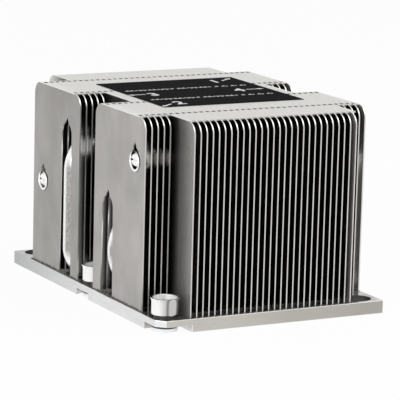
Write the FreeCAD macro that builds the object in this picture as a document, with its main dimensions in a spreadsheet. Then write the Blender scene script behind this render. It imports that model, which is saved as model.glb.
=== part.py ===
import FreeCAD, Part
import math
import os
import Sketcher
from FreeCAD import Placement, Rotation, Vector

# Passive 2U processor heatsink, in millimetres.
#
# Frame: +X runs along the fin stack, +Y along the air flow, +Z up. The origin is the middle of the
# base plate's underside. A milled base plate carries four U-bent heat pipes in grooves. A stack of
# folded zipper fins is threaded on their upper legs and stands on the base. The outer fins of each
# end are split and shortened, which leaves room for a driver over the four captive nuts.

os.makedirs("parts", exist_ok=True)
doc = FreeCAD.newDocument("passive_heatsink")
sheet = doc.addObject("Spreadsheet::Sheet", "Sizes")

SIZES = (
    # name, value, what it is
    ("base_depth", 108.0, "base plate along Y"),
    ("base_thickness", 4.2, "base plate"),
    ("base_chamfer", 2.7, "corner cut beside each corner nut"),
    ("ledge_thickness", 2.1, "plate left under the nuts after the underside recesses"),
    ("corner_recess_width", 11.5, "corner recess along X"),
    ("corner_recess_depth", 10.0, "corner recess along Y"),
    ("corner_recess_radius", 3.0, "inner corner of the corner recess"),
    ("side_recess_radius", 6.2, "round recess under each middle nut"),
    ("nut_edge_distance", 4.6, "nut axis from the plate's side edge"),
    ("nut_end_distance", 5.2, "corner nuts and clip slots from the plate's end, along Y"),
    ("nut_fin_gap", 0.37, "between the nuts and the full fins, along X"),
    ("clip_slot_width", 8.4, "clip slot along Y"),
    ("clip_slot_length", 11.0, "clip slot along X, end to end"),
    ("clip_slot_edge_distance", 2.0, "clip slot's end from the plate's side edge"),
    ("fin_top", 64.0, "top of the fin stack above the base's underside"),
    ("fin_thickness", 0.4, "fin sheet"),
    ("fin_pitch", 2.08, "fin to fin"),
    ("fin_corner", 4.0, "radius of the fins' upper corners"),
    ("fold_bevel", 0.06, "flattened outside of the folds"),
    ("flange_clearance", 0.03, "seam between a flange and the next fin"),
    ("solder_gap", 0.05, "solder line between the fins and the base"),
    ("main_fin_inset", 1.3, "full fins' edge from the plate's end"),
    ("corner_notch_gap", 3.6, "between the corner nuts and the split fins, along Y"),
    ("middle_notch_gap", 1.2, "between the middle nuts and the split fins, along Y"),
    ("pipe_diameter", 6.0, "heat pipe"),
    ("bend_radius", 12.0, "heat pipe bends, centre line"),
    ("high_pipe", 50.2, "upper legs of pipes 1 and 3, above the underside"),
    ("low_pipe", 32.3, "upper legs of pipes 2 and 4, above the underside"),
    ("outer_pipe_inset", 7.1, "pipes 1 and 4 from the split fins' outer edge"),
    ("inner_pipe_inset", 9.7, "pipes 2 and 3 from the split fins' inner edge"),
    ("groove_floor", 1.3, "plate left under the pipes"),
    ("press_start", 0.3, "round part of the lower leg between the bend and the pressed part"),
    ("press_ramp", 3.0, "length over which a pipe goes from round to pressed flat"),
    ("lower_leg_end", 29.0, "far end of each lower leg from the middle, along X"),
    ("pipe_proud", 0.6, "closed pipe end beyond the outer fin"),
    ("pipe_nose", 1.6, "bevel round the closed pipe end"),
    ("groove_clearance", 0.05, "round the pipes in the base"),
    ("hole_clearance", 0.08, "round the pipes in the inner fins"),
    ("collar_clearance", 0.45, "round the pipes in the outer fins"),
    ("collar_flare", 0.7, "flared rim round the outer fins' holes"),
    ("slit_rise", 6.0, "tip of the solder slit above the pipe's axis"),
    ("slit_width", 2.4, "solder slit"),
    ("slit_taper", 1.8, "length of the slit's pointed tip"),
    ("slot_clearance", 0.7, "beside the pipe at the top of a bend slot"),
    ("slot_spread", 0.6, "extra half width of a bend slot at the base"),
    ("nut_body_diameter", 8.45, "captive nut, below the flare"),
    ("nut_rim_diameter", 9.2, "captive nut's flared rim"),
    ("nut_rim_rise", 1.4, "height of the flare"),
    ("nut_body_length", 5.3, "captive nut's body"),
    ("nut_shoulder_diameter", 6.4, "shoulder that stands on the plate"),
    ("nut_shoulder_length", 1.0, "shoulder's height"),
    ("nut_neck_diameter", 4.8, "neck through the plate"),
    ("nut_neck_lip", 0.15, "neck's end below the washer"),
    ("nut_float", 0.75, "height that a nut can rise before its washer meets the plate"),
    ("nut_neck_clearance", 0.08, "round the neck in the plate"),
    ("cup_diameter", 7.4, "open cup in the nut's top"),
    ("cup_depth", 2.3, "open cup in the nut's top"),
    ("socket_width", 4.6, "hexagon socket, across flats"),
    ("socket_depth", 2.2, "hexagon socket"),
    ("thread_bore", 3.3, "tapping bore of the M4 thread"),
    ("washer_diameter", 8.1, "retaining washer"),
    ("washer_thickness", 1.0, "retaining washer"),
    ("washer_clearance", 0.05, "round the neck in the washer"),
    ("label_width", 49.7, "label along X"),
    ("label_depth", 49.2, "label along Y"),
    ("label_thickness", 0.15, "label"),
    ("label_offset_right", 1.3, "label's middle along X"),
    ("label_offset_back", 1.45, "label's middle along Y"),
)
for row, (name, value, note) in enumerate(SIZES, start=1):
    sheet.set(f"A{row}", name)
    sheet.set(f"B{row}", str(value))
    sheet.set(f"C{row}", note)
    sheet.setAlias(f"B{row}", name)
doc.recompute()

# Fins along the stack, counted from the left (-X). Those at each end are split in two plates.
FIN_COUNT = 38
SPLIT_FINS = 5

STACK_HALF = f"((Sizes.fin_pitch * {FIN_COUNT - 1} + Sizes.fin_thickness) / 2)"
PIPE_RADIUS = "(Sizes.pipe_diameter / 2)"
RISER = f"({STACK_HALF} - {PIPE_RADIUS})"  # the pipes' vertical legs, from the middle along X
LEG_AXIS = f"(Sizes.groove_floor + {PIPE_RADIUS})"  # axis of the round part of the lower legs
FIN_FOOT = "(Sizes.base_thickness + Sizes.solder_gap)"
HALF_DEPTH = "(Sizes.base_depth / 2)"
FULL_FIN = f"({HALF_DEPTH} - Sizes.main_fin_inset)"  # full fins' edge from the middle, along Y

# the nuts stand beside the last full fin's flange, and the plate's width follows from them
FULL_REACH = f"(Sizes.fin_pitch * {FIN_COUNT - SPLIT_FINS} - {STACK_HALF} - Sizes.flange_clearance)"
NUT_X = f"({FULL_REACH} + Sizes.nut_fin_gap + Sizes.nut_rim_diameter / 2)"
NUT_ROW = f"({HALF_DEPTH} - Sizes.nut_end_distance)"
HALF_WIDTH = f"({NUT_X} + Sizes.nut_edge_distance)"

# the split fins leave notches round the nuts
SIDE_OUTER = f"({NUT_ROW} - Sizes.nut_rim_diameter / 2 - Sizes.corner_notch_gap)"
SIDE_INNER = "(Sizes.nut_rim_diameter / 2 + Sizes.middle_notch_gap)"
OUTER_PIPE = f"({SIDE_OUTER} - Sizes.outer_pipe_inset)"
INNER_PIPE = f"({SIDE_INNER} + Sizes.inner_pipe_inset)"

# where a pipe on the left is above the plate: fins that reach into this need slots
BEND_ZONE = f"({RISER} - Sizes.bend_radius - Sizes.press_start - Sizes.press_ramp)"

# each nut's washer is trapped under the plate's ledge
WASHER_FOOT = (
    "(Sizes.base_thickness - Sizes.ledge_thickness - Sizes.nut_float - Sizes.washer_thickness)"
)

# number, side of the stack with the bends, Y and Z of the upper leg
PIPES = (
    (1, "right", f"-{OUTER_PIPE}", "Sizes.high_pipe"),
    (2, "left", f"-{INNER_PIPE}", "Sizes.low_pipe"),
    (3, "left", INNER_PIPE, "Sizes.high_pipe"),
    (4, "right", OUTER_PIPE, "Sizes.low_pipe"),
)
# nuts in their tightening order: back right, front left, middle left, middle right
NUT_PLACES = (
    (NUT_X, NUT_ROW),
    (f"-{NUT_X}", f"-{NUT_ROW}"),
    (f"-{NUT_X}", "0"),
    (NUT_X, "0"),
)
nodes = []


def value(expression):
    """The number that a sheet expression gives now, for a sketch's first guess."""
    result = sheet.evalExpression(expression)
    return float(getattr(result, "Value", result))


def new_body(label):
    body = doc.addObject("PartDesign::Body", label)
    body.Label = label
    nodes.append(body)
    return body


def new_sketch(body, name, plane, offset="0"):
    """A sketch on one of the body's own planes, moved along that plane's normal."""
    sketch = body.newObject("Sketcher::SketchObject", name)
    origin_plane = [f for f in body.Origin.OriginFeatures if f.Role == plane][0]
    sketch.AttachmentSupport = [(origin_plane, "")]
    sketch.MapMode = "FlatFace"
    if offset != "0":
        sketch.setExpression("AttachmentOffset.Base.z", offset)
    return sketch


def pin_point(sketch, geometry, position, across, up):
    """Ties one point of the sketch to the sheet."""
    for kind, expression in (("DistanceX", across), ("DistanceY", up)):
        index = sketch.addConstraint(
            Sketcher.Constraint(kind, -1, 1, geometry, position, value(expression))
        )
        sketch.setExpression(f"Constraints[{index}]", expression)


def polygon(sketch, corners):
    """A closed outline with straight sides through corners given as expressions."""
    points = [Vector(value(across), value(up), 0) for across, up in corners]
    sides = []
    for start, end in zip(points, points[1:] + points[:1]):
        sides.append(sketch.addGeometry(Part.LineSegment(start, end), False))
    for side, following in zip(sides, sides[1:] + sides[:1]):
        sketch.addConstraint(Sketcher.Constraint("Coincident", side, 2, following, 1))
    for side, (across, up) in zip(sides, corners):
        pin_point(sketch, side, 1, across, up)
    return sides


def rectangle(sketch, left, right, low, high):
    return polygon(sketch, ((left, low), (right, low), (right, high), (left, high)))


def circle(sketch, across, up, radius):
    centre = Vector(value(across), value(up), 0)
    ring = sketch.addGeometry(Part.Circle(centre, Vector(0, 0, 1), value(radius)), False)
    pin_point(sketch, ring, 3, across, up)
    index = sketch.addConstraint(Sketcher.Constraint("Radius", ring, value(radius)))
    sketch.setExpression(f"Constraints[{index}]", radius)
    return ring


def arc(sketch, across, up, radius, start_angle, end_angle):
    """An arc, counter-clockwise between two angles in degrees, pinned by its centre and radius."""
    centre = Vector(value(across), value(up), 0)
    whole = Part.Circle(centre, Vector(0, 0, 1), value(radius))
    piece = Part.ArcOfCircle(whole, math.radians(start_angle), math.radians(end_angle))
    geometry = sketch.addGeometry(piece, False)
    pin_point(sketch, geometry, 3, across, up)
    index = sketch.addConstraint(Sketcher.Constraint("Radius", geometry, value(radius)))
    sketch.setExpression(f"Constraints[{index}]", radius)
    return geometry


def line(sketch, start, end):
    (x1, y1), (x2, y2) = start, end
    return sketch.addGeometry(Part.LineSegment(Vector(x1, y1, 0), Vector(x2, y2, 0)), False)


def pad(body, name, sketch, length):
    feature = body.newObject("PartDesign::Pad", name)
    feature.Profile = sketch
    feature.setExpression("Length", length)
    return feature


def pocket(body, name, sketch, length, reverse=False, both_ways=False):
    feature = body.newObject("PartDesign::Pocket", name)
    feature.Profile = sketch
    feature.Type = "Length"
    feature.setExpression("Length", length)
    feature.Reversed = reverse
    if both_ways:
        feature.SideType = "Symmetric"
    return feature


def edges_at(feature, test):
    """Names of the feature's edges whose two ends both pass the test."""
    doc.recompute()
    names = []
    for number, edge in enumerate(feature.Shape.Edges, start=1):
        if len(edge.Vertexes) == 2 and all(test(vertex.Point) for vertex in edge.Vertexes):
            names.append(f"Edge{number}")
    return names


def near(first, second):
    return abs(first - second) < 1e-4


# ---------------------------------------------------------------- base plate

def make_base_plate():
    body = new_body("base_plate")
    outline = new_sketch(body, "base_outline", "XY_Plane")
    rectangle(outline, f"-{HALF_WIDTH}", HALF_WIDTH, f"-{HALF_DEPTH}", HALF_DEPTH)
    plate = pad(body, "plate", outline, "Sizes.base_thickness")

    # the corners beside the corner nuts: front left and back right
    def at_corner(point):
        return near(point.x * value(HALF_DEPTH), point.y * value(HALF_WIDTH))

    corner_cut = body.newObject("PartDesign::Chamfer", "corner_cut")
    corner_cut.Base = (plate, edges_at(plate, at_corner))
    corner_cut.setExpression("Size", "Sizes.base_chamfer")

    # recesses in the underside leave a thin ledge for each nut to clamp
    recess_depth = "Sizes.base_thickness - Sizes.ledge_thickness"
    corners = new_sketch(body, "corner_recess_outline", "XY_Plane")
    inner_x = f"({HALF_WIDTH} - Sizes.corner_recess_width)"
    inner_y = f"({HALF_DEPTH} - Sizes.corner_recess_depth)"
    rounding = "Sizes.corner_recess_radius"
    for sign, turn in (("-", 0), ("", 180)):
        outer_x, outer_y = f"{sign}2 * {HALF_WIDTH}", f"{sign}2 * {HALF_DEPTH}"
        points = [
            (value(outer_x), value(outer_y)),
            (value(f"{sign}{inner_x}"), value(outer_y)),
            (value(f"{sign}{inner_x}"), value(f"{sign}({inner_y} + {rounding})")),
            (value(f"{sign}({inner_x} + {rounding})"), value(f"{sign}{inner_y}")),
            (value(outer_x), value(f"{sign}{inner_y}")),
        ]
        first = line(corners, points[0], points[1])
        wall = line(corners, points[1], points[2])
        bend = arc(corners, f"{sign}({inner_x} + {rounding})", f"{sign}({inner_y} + {rounding})",
                   rounding, turn, turn + 90)
        far_wall = line(corners, points[3], points[4])
        last = line(corners, points[4], points[0])
        pin_point(corners, first, 1, outer_x, outer_y)
        for side, other in ((first, wall), (far_wall, last), (last, first)):
            corners.addConstraint(Sketcher.Constraint("Coincident", side, 2, other, 1))
        corners.addConstraint(Sketcher.Constraint("Tangent", wall, 2, bend, 1))
        corners.addConstraint(Sketcher.Constraint("Tangent", bend, 2, far_wall, 1))
        corners.addConstraint(Sketcher.Constraint("Horizontal", first))
        corners.addConstraint(Sketcher.Constraint("Vertical", last))
    pocket(body, "corner_recesses", corners, recess_depth, reverse=True)

    sides = new_sketch(body, "side_recess_outline", "XY_Plane")
    for sign in ("-", ""):
        circle(sides, f"{sign}{NUT_X}", "0", "Sizes.side_recess_radius")
    pocket(body, "side_recesses", sides, recess_depth, reverse=True)

    holes = new_sketch(body, "nut_holes_outline", "XY_Plane")
    radius = "Sizes.nut_neck_diameter / 2 + Sizes.nut_neck_clearance"
    for across, up in NUT_PLACES:
        circle(holes, across, up, radius)
    pocket(body, "nut_holes", holes, "Sizes.base_thickness", reverse=True)

    slots = new_sketch(body, "clip_slot_outline", "XY_Plane")
    half = "(Sizes.clip_slot_width / 2)"
    outer_end = f"({HALF_WIDTH} - Sizes.clip_slot_edge_distance)"
    inner_end = f"({outer_end} - Sizes.clip_slot_length)"
    for sign, up in (("", f"-{NUT_ROW}"), ("-", NUT_ROW)):
        ends = sorted((f"{sign}({outer_end} - {half})", f"{sign}({inner_end} + {half})"), key=value)
        right = arc(slots, ends[1], up, half, -90, 90)
        left = arc(slots, ends[0], up, half, 90, 270)
        x1, x2, y = value(ends[0]), value(ends[1]), value(up)
        r = value(half)
        top = line(slots, (x2, y + r), (x1, y + r))
        bottom = line(slots, (x1, y - r), (x2, y - r))
        for one, other in ((right, top), (top, left), (left, bottom), (bottom, right)):
            slots.addConstraint(Sketcher.Constraint("Tangent", one, 2, other, 1))
    pocket(body, "clip_slots", slots, "Sizes.base_thickness", reverse=True)

    # round-bottomed grooves for the pipes' lower legs
    groove_radius = f"({PIPE_RADIUS} + Sizes.groove_clearance)"
    above = "Sizes.base_thickness + Sizes.pipe_diameter"
    for number, side, y, _ in PIPES:
        near_end, far_end = RISER, "(Sizes.lower_leg_end + Sizes.groove_clearance)"
        start = f"-{near_end}" if side == "left" else f"-{far_end}"
        section = new_sketch(body, f"groove_{number}_section", "YZ_Plane", start)
        bottom = arc(section, y, LEG_AXIS, groove_radius, 180, 360)
        y0, z0, r, z1 = value(y), value(LEG_AXIS), value(groove_radius), value(above)
        right = line(section, (y0 + r, z0), (y0 + r, z1))
        top = line(section, (y0 + r, z1), (y0 - r, z1))
        left = line(section, (y0 - r, z1), (y0 - r, z0))
        section.addConstraint(Sketcher.Constraint("Tangent", bottom, 2, right, 1))
        section.addConstraint(Sketcher.Constraint("Coincident", right, 2, top, 1))
        section.addConstraint(Sketcher.Constraint("Coincident", top, 2, left, 1))
        section.addConstraint(Sketcher.Constraint("Tangent", left, 2, bottom, 1))
        section.addConstraint(Sketcher.Constraint("Horizontal", top))
        index = section.addConstraint(Sketcher.Constraint("DistanceY", -1, 1, top, 1, z1))
        section.setExpression(f"Constraints[{index}]", above)
        pocket(body, f"groove_{number}", section, f"{near_end} + {far_end}", reverse=True)
    return body


# ---------------------------------------------------------------- heat pipes

def make_heat_pipe(number, side, y, upper):
    """One U-bent pipe. It is drawn with its bends to the left, and turned round for the right."""
    body = new_body(f"heat_pipe_{number}")
    tip = f"({STACK_HALF} + Sizes.pipe_proud)"
    bend_x = f"(Sizes.bend_radius - {RISER})"
    upper_centre = f"({upper} - Sizes.bend_radius)"
    lower_centre = f"({LEG_AXIS} + Sizes.bend_radius)"

    spine = new_sketch(body, f"pipe_{number}_path", "XZ_Plane")
    x0, x1, x2, x3 = value(tip), value(bend_x), -value(RISER), value("Sizes.lower_leg_end")
    z0, z1, z2, z3 = value(upper), value(upper_centre), value(lower_centre), value(LEG_AXIS)
    upper_leg = line(spine, (x0, z0), (x1, z0))
    upper_bend = arc(spine, bend_x, upper_centre, "Sizes.bend_radius", 90, 180)
    riser = line(spine, (x2, z1), (x2, z2))
    lower_bend = arc(spine, bend_x, lower_centre, "Sizes.bend_radius", 180, 270)
    lower_leg = line(spine, (x1, z3), (x3, z3))
    path = (upper_leg, upper_bend, riser, lower_bend, lower_leg)
    for one, other in zip(path, path[1:]):
        spine.addConstraint(Sketcher.Constraint("Tangent", one, 2, other, 1))
    for leg, position, place in ((upper_leg, 1, tip), (lower_leg, 2, "Sizes.lower_leg_end")):
        index = spine.addConstraint(Sketcher.Constraint("DistanceX", -1, 1, leg, position, value(place)))
        spine.setExpression(f"Constraints[{index}]", place)

    section = new_sketch(body, f"pipe_{number}_section", "YZ_Plane", tip)
    circle(section, "0", upper, PIPE_RADIUS)
    tube = body.newObject("PartDesign::AdditivePipe", f"pipe_{number}_tube")
    tube.Profile = section
    tube.Spine = (spine, [f"Edge{i}" for i in range(1, len(path) + 1)])

    nose = body.newObject("PartDesign::Chamfer", f"pipe_{number}_nose")
    doc.recompute()
    tip_x = value(tip)
    rim = [f"Edge{i}" for i, edge in enumerate(tube.Shape.Edges, start=1)
           if all(near(vertex.X, tip_x) for vertex in edge.Vertexes)]
    nose.Base = (tube, rim)
    nose.setExpression("Size", "Sizes.pipe_nose")

    # the lower leg is pressed flush with the plate's top, over a short ramp after the bend
    press = new_sketch(body, f"pipe_{number}_press", "XZ_Plane")
    leg_top = f"({LEG_AXIS} + {PIPE_RADIUS})"
    clear = f"({leg_top} + {PIPE_RADIUS})"
    beyond = "(Sizes.lower_leg_end + Sizes.press_ramp)"
    ramp_start = f"({bend_x} + Sizes.press_start)"
    polygon(press, (
        (ramp_start, f"({leg_top} + Sizes.press_start)"),
        (f"({ramp_start} + Sizes.press_ramp)", "Sizes.base_thickness"),
        (beyond, "Sizes.base_thickness"),
        (beyond, clear),
        (ramp_start, clear),
    ))
    pocket(body, f"pipe_{number}_pressed", press, "Sizes.pipe_diameter * 2", both_ways=True)

    body.setExpression("Placement.Base.y", y)
    if side == "right":
        body.Placement.Rotation = Rotation(Vector(0, 0, 1), 180)
    return body


# ---------------------------------------------------------------- fins

def round_opening(sketch, y, z):
    """The true keyhole of an outer fin: a round hole with a pointed slit for solder on top."""
    radius = f"({PIPE_RADIUS} + Sizes.collar_clearance)"
    y0, z0, r = value(y), value(z), value(radius)
    half_slit, rise = value("Sizes.slit_width / 2"), value("Sizes.slit_rise")
    angle = math.degrees(math.asin(half_slit / r))
    shoulder = z0 + rise - value("Sizes.slit_taper")
    meet = z0 + math.sqrt(r * r - half_slit * half_slit)
    hole = arc(sketch, y, z, radius, 90 + angle, 450 - angle)
    right = line(sketch, (y0 + half_slit, meet), (y0 + half_slit, shoulder))
    right_tip = line(sketch, (y0 + half_slit, shoulder), (y0, z0 + rise))
    left_tip = line(sketch, (y0, z0 + rise), (y0 - half_slit, shoulder))
    left = line(sketch, (y0 - half_slit, shoulder), (y0 - half_slit, meet))
    close_slit(sketch, y, z, (hole, right, right_tip, left_tip, left))
    sketch.addConstraint(Sketcher.Constraint("Coincident", left, 2, hole, 1))


def close_slit(sketch, y, z, sides):
    """Joins the sides in turn and pins the slit, which is the last four of them."""
    _, right, right_tip, left_tip, left = sides[-5:]
    for one, other in zip(sides, sides[1:]):
        sketch.addConstraint(Sketcher.Constraint("Coincident", one, 2, other, 1))
    shoulder = f"{z} + Sizes.slit_rise - Sizes.slit_taper"
    pin_point(sketch, right_tip, 1, f"{y} + Sizes.slit_width / 2", shoulder)
    pin_point(sketch, left_tip, 1, y, f"{z} + Sizes.slit_rise")
    pin_point(sketch, left, 1, f"{y} - Sizes.slit_width / 2", shoulder)
    for side in (right, left):
        sketch.addConstraint(Sketcher.Constraint("Vertical", side))


def round_slot(sketch, y, z):
    """The true slot of an outer fin: arched top with the solder slit, open at the base."""
    radius = f"({PIPE_RADIUS} + Sizes.slot_clearance)"
    spread = f"({radius} + Sizes.slot_spread)"
    below = f"({FIN_FOOT} - Sizes.fin_thickness)"
    y0, z0, r, foot = value(y), value(z), value(radius), value(below)
    half_slit, rise = value("Sizes.slit_width / 2"), value("Sizes.slit_rise")
    angle = math.degrees(math.asin(half_slit / r))
    shoulder = z0 + rise - value("Sizes.slit_taper")
    meet = z0 + math.sqrt(r * r - half_slit * half_slit)
    wide = value(spread)
    foot_line = line(sketch, (y0 - wide, foot), (y0 + wide, foot))
    right_side = line(sketch, (y0 + wide, foot), (y0 + r, z0))
    right_arch = arc(sketch, y, z, radius, 0, 90 - angle)
    right = line(sketch, (y0 + half_slit, meet), (y0 + half_slit, shoulder))
    right_tip = line(sketch, (y0 + half_slit, shoulder), (y0, z0 + rise))
    left_tip = line(sketch, (y0, z0 + rise), (y0 - half_slit, shoulder))
    left = line(sketch, (y0 - half_slit, shoulder), (y0 - half_slit, meet))
    left_arch = arc(sketch, y, z, radius, 90 + angle, 180)
    left_side = line(sketch, (y0 - r, z0), (y0 - wide, foot))
    close_slit(sketch, y, z, (foot_line, right_side, right_arch, right, right_tip, left_tip, left))
    for one, other in ((left, left_arch), (left_arch, left_side), (left_side, foot_line)):
        sketch.addConstraint(Sketcher.Constraint("Coincident", one, 2, other, 1))
    pin_point(sketch, foot_line, 1, f"{y} - {spread}", below)
    pin_point(sketch, foot_line, 2, f"{y} + {spread}", below)
    sketch.addConstraint(Sketcher.Constraint("Horizontal", right_arch, 3, right_arch, 1))
    sketch.addConstraint(Sketcher.Constraint("Horizontal", left_arch, 3, left_arch, 2))


def plain_opening(sketch, y, z):
    """An inner fin's keyhole with few sides: a hexagon round the pipe, drawn up into the slit."""
    half = f"({PIPE_RADIUS} + Sizes.hole_clearance)"
    side_rise = f"{half} * tan(30 deg)"
    polygon(sketch, (
        (y, f"{z} + Sizes.slit_rise"),
        (f"{y} - {half}", f"{z} + {side_rise}"),
        (f"{y} - {half}", f"{z} - {side_rise}"),
        (y, f"{z} - {half} / cos(30 deg)"),
        (f"{y} + {half}", f"{z} - {side_rise}"),
        (f"{y} + {half}", f"{z} + {side_rise}"),
    ))


def plain_slot(sketch, y, z):
    """An inner fin's slot with few sides."""
    half = f"({PIPE_RADIUS} + Sizes.slot_clearance)"
    shoulder = f"{z} + {half} * tan(30 deg)"
    below = f"({FIN_FOOT} - Sizes.fin_thickness)"
    spread = f"({half} + Sizes.slot_spread)"
    polygon(sketch, (
        (y, f"{z} + Sizes.slit_rise"),
        (f"{y} - {half}", shoulder),
        (f"{y} - {spread}", below),
        (f"{y} + {spread}", below),
        (f"{y} + {half}", shoulder),
    ))


def make_fin(label, index, low, high, flanged=True, outer=None):
    """One folded fin between two Y places: web, flanges, and an opening for each pipe it meets.

    outer names the stack's end that the fin closes, where the openings are seen.
    """
    body = new_body(label)
    web_top = "(Sizes.fin_top - Sizes.fold_bevel)"
    outline = new_sketch(body, f"{label}_outline", "YZ_Plane")
    rectangle(outline, low, high, FIN_FOOT, web_top)
    web = pad(body, f"{label}_web", outline, "Sizes.fin_thickness")
    corners = body.newObject("PartDesign::Fillet", f"{label}_corners")
    top = value(web_top)
    across = [
        name for name in edges_at(web, lambda point: near(point.z, top))
        if near(*(vertex.Y for vertex in web.Shape.getElement(name).Vertexes))
    ]
    corners.Base = (web, across)
    corners.setExpression("Radius", "Sizes.fin_corner")

    if flanged:
        reach = "(Sizes.fin_pitch - Sizes.flange_clearance)"
        start = f"Sizes.fin_corner - {high}"
        length = f"{high} - {low} - 2 * Sizes.fin_corner"
        fold = new_sketch(body, f"{label}_top_section", "XZ_Plane", start)
        under = "(Sizes.fin_top - Sizes.fin_thickness)"
        polygon(fold, (
            ("0", under), (reach, under), (reach, "Sizes.fin_top"),
            ("Sizes.fold_bevel", "Sizes.fin_top"), ("0", web_top),
        ))
        pad(body, f"{label}_top_flange", fold, length)
        foot = new_sketch(body, f"{label}_foot_section", "XZ_Plane", start)
        rectangle(foot, "0", reach, FIN_FOOT, f"({FIN_FOOT} + Sizes.fin_thickness)")
        pad(body, f"{label}_foot_flange", foot, length)

    in_left, in_right = bend_zones(index)
    for number, side, y, z in PIPES:
        if not value(low) < value(y) < value(high):
            continue
        sketch = new_sketch(body, f"{label}_pipe_{number}_outline", "YZ_Plane")
        slotted = (side == "left" and in_left) or (side == "right" and in_right)
        if slotted:
            draw = round_slot if outer else plain_slot
        else:
            draw = round_opening if outer else plain_opening
        draw(sketch, y, z)
        pocket(body, f"{label}_pipe_{number}_cut", sketch, "Sizes.fin_pitch * 2", both_ways=True)
        if outer and not slotted:
            make_flare(body, f"{label}_pipe_{number}_flare", y, z, outer)
    body.setExpression("Placement.Base.x", fin_x(index))
    return body


def make_flare(body, name, y, z, outer):
    """The hole's rim, flared towards the outside of the stack."""
    cone = body.newObject("PartDesign::SubtractiveCone", name)
    cone.setExpression("Radius1", f"{PIPE_RADIUS} + Sizes.collar_clearance + Sizes.collar_flare")
    cone.setExpression("Radius2", f"{PIPE_RADIUS} + Sizes.collar_clearance")
    cone.setExpression("Height", "Sizes.fin_thickness")
    turn = 90 if outer == "left" else -90
    cone.Placement = Placement(Vector(0, 0, 0), Rotation(Vector(0, 1, 0), turn))
    if outer == "right":
        cone.setExpression("Placement.Base.x", "Sizes.fin_thickness")
    cone.setExpression("Placement.Base.y", y)
    cone.setExpression("Placement.Base.z", z)


def fin_x(index):
    """X of a fin's left face, with the fins counted from 1."""
    return f"Sizes.fin_pitch * {index - 1} - {STACK_HALF}"


def repeat(master, label, placed):
    """A body of its own with the master's shape, at a place given by expressions."""
    body = new_body(label)
    shape = body.newObject("PartDesign::FeatureBase", f"{label}_shape")
    shape.BaseFeature = master.Tip
    shape.Placement = master.Tip.Placement
    body.Tip = shape
    for axis, expression in placed.items():
        body.setExpression(f"Placement.Base.{axis}", expression)
    return body


def bend_zones(index):
    """Whether a fin reaches into the left pipes' bends, and into the right ones'."""
    left_face = value(fin_x(index))
    return left_face < -value(BEND_ZONE), left_face + value("Sizes.fin_pitch") > value(BEND_ZONE)


def make_fins():
    front = (f"-{SIDE_OUTER}", f"-{SIDE_INNER}")
    back = (SIDE_INNER, SIDE_OUTER)
    full = (f"-{FULL_FIN}", FULL_FIN)
    last_left = SPLIT_FINS
    first_right = FIN_COUNT - SPLIT_FINS + 1

    for place, span in (("front", front), ("back", back)):
        make_fin(f"left_{place}_fin_1", 1, *span, outer="left")
        make_row(f"left_{place}_fin_", range(2, last_left + 1), 1, span)
        make_row(f"right_{place}_fin_", range(first_right, FIN_COUNT), first_right, span)
        make_fin(f"right_{place}_fin_{SPLIT_FINS}", FIN_COUNT, *span, flanged=False, outer="right")
    make_row("main_fin_", range(last_left + 1, first_right), last_left + 1, full)


def make_row(stem, indices, number_one, span):
    """A row of fins: the first of each kind is drawn, and the others like it repeat it."""
    masters = {}
    for index in indices:
        label = f"{stem}{index - number_one + 1}"
        kind = bend_zones(index)
        if kind in masters:
            repeat(masters[kind], label, {"x": fin_x(index)})
        else:
            masters[kind] = make_fin(label, index, *span)
            doc.recompute()


# ---------------------------------------------------------------- fasteners and label

def make_nuts():
    """Captive nuts: an open cup with a hexagon socket, a shoulder and a threaded neck."""
    master = new_body("captive_nut_1")
    section = new_sketch(master, "nut_section", "XZ_Plane")
    shoulder = "Sizes.base_thickness"
    under = f"({shoulder} + Sizes.nut_shoulder_length)"
    top = f"({under} + Sizes.nut_body_length)"
    cup_floor = f"({top} - Sizes.cup_depth)"
    neck_end = f"({WASHER_FOOT} - Sizes.nut_neck_lip)"
    body_radius = "Sizes.nut_body_diameter / 2"
    polygon(section, (
        ("Sizes.thread_bore / 2", neck_end),
        ("Sizes.nut_neck_diameter / 2", neck_end),
        ("Sizes.nut_neck_diameter / 2", shoulder),
        ("Sizes.nut_shoulder_diameter / 2", shoulder),
        ("Sizes.nut_shoulder_diameter / 2", under),
        (body_radius, under),
        (body_radius, f"{top} - Sizes.nut_rim_rise"),
        ("Sizes.nut_rim_diameter / 2", top),
        ("Sizes.cup_diameter / 2", top),
        ("Sizes.cup_diameter / 2", cup_floor),
        ("Sizes.thread_bore / 2", cup_floor),
    ))
    turned = master.newObject("PartDesign::Revolution", "nut_turned")
    turned.Profile = section
    turned.ReferenceAxis = (section, ["V_Axis"])
    turned.Angle = 360
    socket = master.newObject("PartDesign::SubtractivePrism", "nut_socket")
    socket.Polygon = 6
    socket.setExpression("Circumradius", "Sizes.socket_width / 2 / cos(30 deg)")
    socket.setExpression("Height", "Sizes.socket_depth")
    socket.setExpression("Placement.Base.z", f"{cup_floor} - Sizes.socket_depth")
    across, up = NUT_PLACES[0]
    master.setExpression("Placement.Base.x", across)
    master.setExpression("Placement.Base.y", up)
    doc.recompute()
    for number, (across, up) in enumerate(NUT_PLACES[1:], start=2):
        repeat(master, f"captive_nut_{number}", {"x": across, "y": up})


def primitive(kind, name, sizes, x, y, z):
    solid = doc.addObject(kind, name)
    for property_name, expression in sizes.items():
        solid.setExpression(property_name, expression)
    for axis, expression in (("x", x), ("y", y), ("z", z)):
        solid.setExpression(f"Placement.Base.{axis}", expression)
    return solid


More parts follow.
